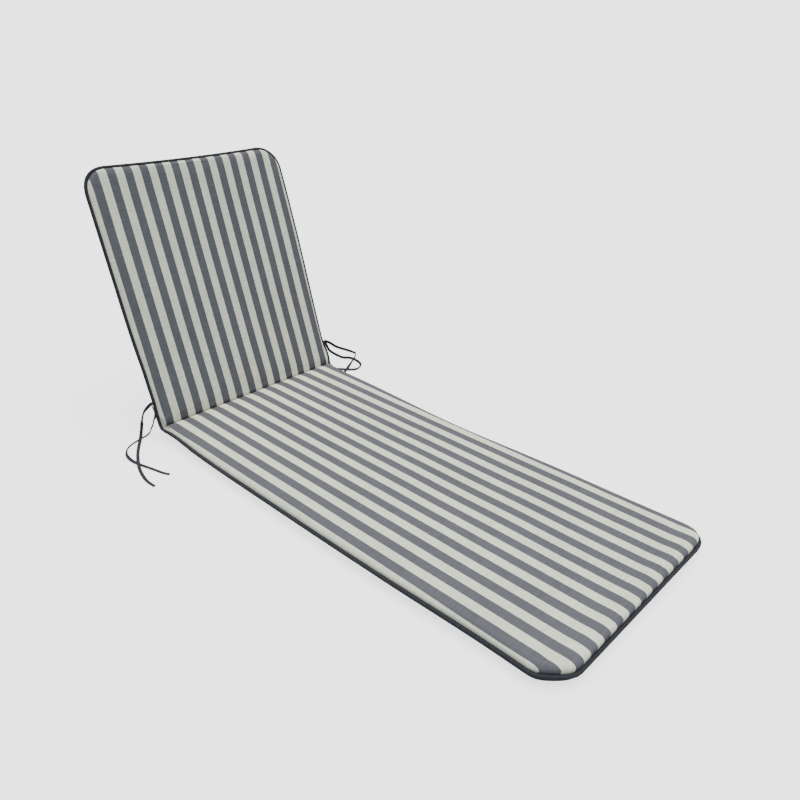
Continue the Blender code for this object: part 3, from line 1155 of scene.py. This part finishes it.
    def fill_out(self, piece: bpy.types.Object) -> None:
        """Let the filling press the sewn cover out, with Blender's cloth, and keep the result.

        Args:
            piece: the cushion's cage, whose sewn points stay where they are.
        """
        marks = piece.data.attributes["sewn"].data
        held = [i for i, mark in enumerate(marks) if mark.value == 1]
        piece.vertex_groups.new(name="held").add(held, 1.0, "REPLACE")
        filling = piece.modifiers.new("filling", "CLOTH")
        settings = filling.settings
        settings.quality = 6
        settings.mass = 0.25
        settings.use_pressure = True
        settings.uniform_pressure_force = self.pressure
        settings.vertex_group_mass = "held"
        settings.effector_weights.gravity = 0.0
        settings.bending_stiffness = 0.4
        filling.collision_settings.use_collision = False
        filling.point_cache.frame_end = self.frames
        before = [vertex.co.copy() for vertex in piece.data.vertices]
        for number in range(1, self.frames + 1):
            bpy.context.scene.frame_set(number)
        shown = piece.evaluated_get(bpy.context.evaluated_depsgraph_get()).data
        after = [vertex.co.copy() for vertex in shown.vertices]
        piece.modifiers.remove(filling)
        bpy.context.scene.frame_set(1)
        moves = []
        for vertex, start, end in zip(piece.data.vertices, before, after):
            move = end - start
            moves.append(move.length)
            capped = self.most_swell * math.tanh(move.length / self.most_swell)
            vertex.co = start + move.normalized() * capped
        free = sorted(moves)[len(held):]
        LOG.info("uncapped, the filling would move the cloth by %.1f mm at most, %.1f mm as a rule",
                 1000.0 * free[-1], 1000.0 * free[len(free) // 2])

    def make(self, material: bpy.types.Material, underside: bpy.types.Material) -> bpy.types.Object:
        """Args:
            material: finish of the top cloth.
            underside: finish of the cloth below the corded edge.

        Returns:
            The piece.
        """
        piece = self.build_cage(material, underside)
        self.fill_out(piece)
        smooth = piece.modifiers.new("smooth", "SUBSURF")
        smooth.levels = 1
        smooth.render_levels = 1
        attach(piece, "root")
        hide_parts("cushion")
        return piece


@dataclass
class CordedEdge:
    """The cord covered in dark cloth that runs round the whole outline in its seam."""

    shape: PadShape
    cushion: FilledCushion
    sides: int = 14
    rounding: int = 6
    thinning: float = 0.03
    thinning_scale: float = 90.0

    def make(self, material: bpy.types.Material) -> bpy.types.Object:
        """Sweep the covered cord round the outline.

        Args:
            material: its finish.

        Returns:
            The piece.
        """
        shape = self.shape
        path = []
        inner = []
        near_crease = []
        rim = self.cushion.outline(self.cushion.rim_inset)
        for (x, s), (inner_x, inner_s) in zip(self.cushion.outline(-shape.cord_outset), rim):
            depth = shape.cord_depth_at(s)
            path.append(shape.fold(x + shape.flare_at(x, s), s, depth))
            inner.append(shape.fold(inner_x, inner_s, depth))
            near_crease.append(abs(s) < shape.crease_reach)
        count = len(path)
        for _ in range(self.rounding):
            trios = zip(path[-1:] + path[:-1], path, path[1:] + path[:1])
            smoother = [(before + 2 * here + after) / 4 for before, here, after in trios]
            path = [new if near else old for near, old, new in zip(near_crease, path, smoother)]
        turns = [2.0 * math.pi * k / self.sides for k in range(self.sides)]
        sections = []
        for i, centre in enumerate(path):
            run = (path[(i + 1) % count] - path[i - 1]).normalized()
            out = centre - inner[i]
            out = (out - run * out.dot(run)).normalized()
            up = out.cross(run)
            unevenness = 1.0 + noise.noise(centre * self.thinning_scale)
            radius = shape.cord_radius * (1.0 - self.thinning * unevenness)
            sections.append([centre + (out * math.cos(turn) + up * math.sin(turn)) * radius
                             for turn in turns])
        piece = Sweep("corded_edge", closed=True).build(sections, material)
        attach(piece, "root")
        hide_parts("piping")
        return piece


@dataclass
class TieStrand:
    """One free strand of a tie: a flat tape from the side seam to its cut end on the floor."""

    name: str
    side: Side
    rear: bool
    route: tuple[tuple[float, float, float, float], ...]
    shape: PadShape
    above_crease: float = 0.066
    width: float = 0.0090
    thickness: float = 0.0020
    gap: float = 0.0009
    floor_gap: float = 0.0002
    lead: float = 0.003
    spread: float = 0.0013
    step: float = 0.005
    samples: int = 16
    half_section: tuple[tuple[float, float], ...] = (
        (-1.0, 0.0), (-0.93, 0.7), (-0.8, 1.0), (-0.3, 0.92), (0.3, 0.92), (0.8, 1.0), (0.93, 0.7),
    )

    def exit(self) -> Vector:
        """Where the strand leaves the side seam.

        Returns:
            The point in the frame of the part.
        """
        shape = self.shape
        depth = shape.cord_depth + (self.spread if self.rear else -self.spread)
        start = shape.fold(self.side.value * shape.half_width, self.above_crease, depth)
        start.x += self.side.value * (shape.cord_outset + shape.cord_radius + self.gap)
        return start

    def path(self) -> list[Vector]:
        """Evenly spaced points on one smooth curve through the route's own points.

        Returns:
            The points, each with the lean of the tape in radians as its fourth part.
        """
        start = Vector((*self.exit(), math.radians(90.0)))
        stub = start + Vector((self.side.value * self.lead, 0.0, 0.0, 0.0))
        points = [stub] + [Vector((x, y, z, math.radians(lean))) for x, y, z, lean in self.route]
        ends = [2 * points[0] - points[1]] + points + [2 * points[-1] - points[-2]]
        dense = []
        for before, a, b, after in zip(ends, ends[1:], ends[2:], ends[3:]):
            for i in range(self.samples):
                dense.append(curve_point(before, a, b, after, i / self.samples))
        dense.append(points[-1].copy())
        runs = [0.0]
        for a, b in zip(dense, dense[1:]):
            runs.append(runs[-1] + (b - a).to_3d().length)
        count = round(runs[-1] / self.step)
        spaced = [start]
        index = 0
        for i in range(count + 1):
            target = runs[-1] * i / count
            while index < len(runs) - 2 and runs[index + 1] < target:
                index += 1
            share = (target - runs[index]) / (runs[index + 1] - runs[index])
            spaced.append(dense[index].lerp(dense[index + 1], share))
        return spaced

    def tape_section(self, centre: Vector, run: Vector, lean: float) -> list[Vector]:
        """Points round the tape, an oblong with rounded edges that never dips into the floor.

        Args:
            centre: middle of the tape there.
            run: direction of the strand.
            lean: turn of the tape about its run, 0 where it lies flat.

        Returns:
            The section.
        """
        level = run.cross(Vector((0.0, 0.0, 1.0))).normalized()
        upright = level.cross(run).normalized()
        wide = level * math.cos(lean) + upright * math.sin(lean)
        thin = wide.cross(run).normalized()
        half = self.width / 2.0
        thick = self.thickness / 2.0
        above = [centre + wide * (u * half) + thin * (v * thick) for u, v in self.half_section]
        below = [centre - wide * (u * half) - thin * (v * thick) for u, v in self.half_section]
        lift = max(0.0, self.floor_gap - min(point.z for point in above + below))
        return [point + Vector((0.0, 0.0, lift)) for point in above + below]

    def make(self, material: bpy.types.Material) -> bpy.types.Object:
        """Args:
            material: its finish.

        Returns:
            The piece.
        """
        path = self.path()
        sections = []
        for i, centre in enumerate(path):
            run = (path[min(i + 1, len(path) - 1)] - path[max(i - 1, 0)]).to_3d().normalized()
            sections.append(self.tape_section(centre.to_3d(), run, centre.w))
        piece = Sweep(self.name, closed=False).build(sections, material)
        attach(piece, "root")
        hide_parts("tie_" + self.name.removesuffix("_strand"))
        return piece


@dataclass
class CreaseStitching:
    """The stitches that hold the crown down in the crease, seen from the front or the rear."""

    shape: PadShape
    pitch: float = 0.0052
    length: float = 0.0040
    thickness: float = 0.0004
    margin: float = 0.016
    share_proud: float = 0.6

    def make(self, name: str, depth: float, material: bpy.types.Material) -> bpy.types.Object:
        """Lay one joined row of stitches across the cushion.

        Args:
            name: the piece's name.
            depth: depth below the crown at mid-fold, 0 for the top cloth's own seam.
            material: the thread's finish.

        Returns:
            The piece.
        """
        shape = self.shape
        proud = self.thickness * self.share_proud
        out = -shape.into_fold if depth == 0.0 else shape.into_fold
        reach = shape.half_width - self.margin
        count = int(2.0 * reach / self.pitch)
        mesh = bmesh.new()
        for i in range(count):
            x = -reach + self.pitch * (i + 0.5)
            at = shape.fold(x, 0.0, depth) + out * proud
            at.x = x
            made = bmesh.ops.create_uvsphere(mesh, u_segments=8, v_segments=6,
                                             radius=self.thickness)
            for vertex in made["verts"]:
                vertex.co.x *= self.length / (2.0 * self.thickness)
                vertex.co += at
        data = bpy.data.meshes.new(name)
        mesh.to_mesh(data)
        mesh.free()
        data.shade_smooth()
        data.materials.append(material)
        piece = bpy.data.objects.new(name, data)
        bpy.context.scene.collection.objects.link(piece)
        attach(piece, "root")
        return piece


@dataclass(frozen=True)
class Studio:
    """The camera, the floor and the soft lights round the cushion."""

    camera_place: tuple[float, float, float] = (-1.1069, -1.1336, 1.0110)
    camera_turn: tuple[float, float, float] = (1.0963, -0.0128, -0.8104)
    lens: float = 32.68
    sensor: float = 36.0
    seen_depth: float = 50.0
    floor_half: float = 30.0
    floor_drop: float = 0.0006
    world_colour: tuple[float, float, float] = (0.66, 0.83, 1.0)
    world_strength: float = 0.58
    shown_strength: float = 3.0
    floor_colour: tuple[float, float, float] = (0.50, 0.50, 0.50)
    floor_glow: float = 1.95
    key_colour: tuple[float, float, float] = (1.0, 0.985, 0.94)
    key_power: float = 5.6
    key_spread: float = math.radians(65.0)
    key_aim: tuple[float, float, float] = (-0.10, 0.03, -1.0)

    def add_camera(self) -> None:
        """Put the camera where the photograph was taken from."""
        data = bpy.data.cameras.new("view")
        data.lens = self.lens
        data.sensor_width = self.sensor
        data.clip_end = self.seen_depth
        camera = bpy.data.objects.new("view", data)
        camera.location = self.camera_place
        camera.rotation_euler = Euler(self.camera_turn)
        bpy.context.scene.collection.objects.link(camera)
        bpy.context.scene.camera = camera

    def add_floor(self) -> None:
        """Lay a plain pale floor, which only glows for the camera."""
        mesh = bmesh.new()
        bmesh.ops.create_grid(mesh, x_segments=1, y_segments=1, size=self.floor_half)
        data = bpy.data.meshes.new("floor")
        mesh.to_mesh(data)
        mesh.free()
        material = bpy.data.materials.new("pale_floor")
        material.use_nodes = True
        shader = material.node_tree.nodes["Principled BSDF"]
        shader.inputs["Base Color"].default_value = (*self.floor_colour, 1.0)
        shader.inputs["Roughness"].default_value = 0.95
        shader.inputs["Specular IOR Level"].default_value = 0.0
        shader.inputs["Emission Color"].default_value = (1.0, 1.0, 1.0, 1.0)
        bench = Bench(material.node_tree)
        seen = bench.add("ShaderNodeLightPath").outputs["Is Camera Ray"]
        glow = bench.maths("MULTIPLY", seen, self.floor_glow)
        bench.feed(shader.inputs["Emission Strength"], glow)
        data.materials.append(material)
        floor = bpy.data.objects.new("floor", data)
        floor.location.z = -self.floor_drop
        bpy.context.scene.collection.objects.link(floor)

    def add_key_lamp(self) -> None:
        """Hang one broad lamp overhead, whose shadows are too soft to have an edge."""
        data = bpy.data.lights.new("overhead_lamp", "SUN")
        data.energy = self.key_power
        data.angle = self.key_spread
        data.color = self.key_colour
        lamp = bpy.data.objects.new("overhead_lamp", data)
        lamp.rotation_euler = Vector(self.key_aim).to_track_quat("-Z", "Y").to_euler()
        bpy.context.scene.collection.objects.link(lamp)

    def add_lights(self) -> None:
        """Put an even, slightly cool surround round the cushion, and the lamp over it."""
        world = bpy.data.worlds.new("surround")
        world.use_nodes = True
        bench = Bench(world.node_tree)
        lit = world.node_tree.nodes["Background"]
        lit.inputs["Color"].default_value = (*self.world_colour, 1.0)
        lit.inputs["Strength"].default_value = self.world_strength
        shown = bench.add("ShaderNodeBackground")
        shown.inputs["Strength"].default_value = self.shown_strength
        shown.inputs["Color"].default_value = (1.0, 1.0, 1.0, 1.0)
        mix = bench.add("ShaderNodeMixShader")
        bench.feed(mix.inputs[0], bench.add("ShaderNodeLightPath").outputs["Is Camera Ray"])
        bench.feed(mix.inputs[1], lit.outputs[0])
        bench.feed(mix.inputs[2], shown.outputs[0])
        bench.feed(world.node_tree.nodes["World Output"].inputs["Surface"], mix.outputs[0])
        bpy.context.scene.world = world
        self.add_key_lamp()


LEFT_FRONT_ROUTE = (
    (-0.3110, 0.5115, 0.0800, 72), (-0.3130, 0.5205, 0.0600, 62), (-0.3140, 0.5275, 0.0440, 62),
    (-0.3150, 0.5405, 0.0260, 52), (-0.3180, 0.5485, 0.0110, 18), (-0.3280, 0.5545, 0.0025, -10),
    (-0.3428, 0.5517, 0.0023, -14), (-0.3618, 0.5457, 0.0023, -14), (-0.3823, 0.5365, 0.0030, -25),
    (-0.4021, 0.5177, 0.0041, -46), (-0.4140, 0.4929, 0.0040, -44), (-0.4164, 0.4661, 0.0033, -30),
    (-0.4124, 0.4415, 0.0018, -8), (-0.4062, 0.4200, 0.0015, -4), (-0.4000, 0.3995, 0.0012, 0),
    (-0.3890, 0.3585, 0.0012, 0), (-0.3810, 0.3405, 0.0012, 0),
)
LEFT_REAR_ROUTE = (
    (-0.3160, 0.5485, 0.0850, 76), (-0.3190, 0.5605, 0.0700, 66), (-0.3200, 0.5695, 0.0530, 74),
    (-0.3220, 0.5745, 0.0350, 58), (-0.3270, 0.5725, 0.0180, 45), (-0.3350, 0.5635, 0.0085, 25),
    (-0.3462, 0.5468, 0.0060, 10), (-0.3606, 0.5270, 0.0038, 4), (-0.3760, 0.5055, 0.0012, 0),
    (-0.3920, 0.4785, 0.0020, 0), (-0.4080, 0.4465, 0.0042, 0), (-0.4200, 0.4195, 0.0022, 0),
    (-0.4300, 0.3865, 0.0012, 0), (-0.4362, 0.3510, 0.0015, 4), (-0.4354, 0.3176, 0.0018, 8),
)
RIGHT_FRONT_ROUTE = (
    (0.3200, 0.5375, 0.0860, 55), (0.3360, 0.5455, 0.0630, 65), (0.3540, 0.5515, 0.0470, 75),
    (0.3720, 0.5575, 0.0330, 82), (0.3920, 0.5645, 0.0190, 90), (0.4100, 0.5675, 0.0070, 98),
    (0.4177, 0.5596, 0.0047, 108), (0.4279, 0.5499, 0.0045, 122), (0.4328, 0.5359, 0.0040, 138),
    (0.4317, 0.5178, 0.0040, 136), (0.4264, 0.4966, 0.0042, 132), (0.4157, 0.4789, 0.0040, 136),
    (0.4023, 0.4717, 0.0023, 165), (0.3814, 0.4677, 0.0029, 204), (0.3650, 0.4775, 0.0040, 212),
    (0.3500, 0.4894, 0.0060, 212), (0.3407, 0.5083, 0.0040, 206), (0.3323, 0.5255, 0.0024, 196),
)
RIGHT_REAR_ROUTE = (
    (0.3235, 0.5460, 0.0970, 90), (0.3380, 0.5415, 0.0880, 90), (0.3570, 0.5355, 0.0720, 88),
    (0.3830, 0.5455, 0.0560, 82), (0.4120, 0.5585, 0.0390, 78), (0.4430, 0.5715, 0.0210, 78),
    (0.4650, 0.5795, 0.0080, 80), (0.4704, 0.5697, 0.0048, 84), (0.4692, 0.5596, 0.0052, 98),
    (0.4523, 0.5430, 0.0080, 86), (0.4313, 0.5263, 0.0098, 90), (0.4131, 0.5167, 0.0078, 90),
    (0.3967, 0.5084, 0.0047, 68), (0.3686, 0.4929, 0.0028, 22), (0.3513, 0.4838, 0.0017, 6),
    (0.3340, 0.4745, 0.0012, 0),
)


def report(piece: bpy.types.Object) -> None:
    """Log one finished piece."""
    LOG.info("%s: %d points", piece.name, len(piece.data.vertices))


def main() -> None:
    """Build the studio, then the ties, the cushion, its corded edge and its stitching."""
    logging.basicConfig(level=logging.INFO, format="%(name)s: %(message)s")
    shape = PadShape()
    shop = ClothShop(shape)
    studio = Studio()
    studio.add_camera()
    tape = shop.binding(BindingCloth("tie_tape_finish"), mapped=True)
    strands = (
        TieStrand("left_front_strand", Side.LEFT, False, LEFT_FRONT_ROUTE, shape),
        TieStrand("left_rear_strand", Side.LEFT, True, LEFT_REAR_ROUTE, shape),
        TieStrand("right_front_strand", Side.RIGHT, False, RIGHT_FRONT_ROUTE, shape),
        TieStrand("right_rear_strand", Side.RIGHT, True, RIGHT_REAR_ROUTE, shape),
    )
    for strand in strands:
        report(strand.make(tape))
    striped = shop.striped(StripedCloth())
    underside = shop.binding(BindingCloth("underside_finish"), mapped=False)
    cushion = FilledCushion(shape)
    report(cushion.make(striped, underside))
    cover = shop.binding(BindingCloth("cord_cover_finish"), mapped=True)
    report(CordedEdge(shape, cushion).make(cover))
    stitching = CreaseStitching(shape)
    thread = shop.binding(BindingCloth("thread_finish", colour=(0.30, 0.30, 0.29)), mapped=False)
    report(stitching.make("crease_stitches", 0.0, thread))
    report(stitching.make("rear_crease_stitches", shape.thickness_at(0.0), thread))
    studio.add_floor()
    studio.add_lights()


if __name__ == "__main__":
    main()
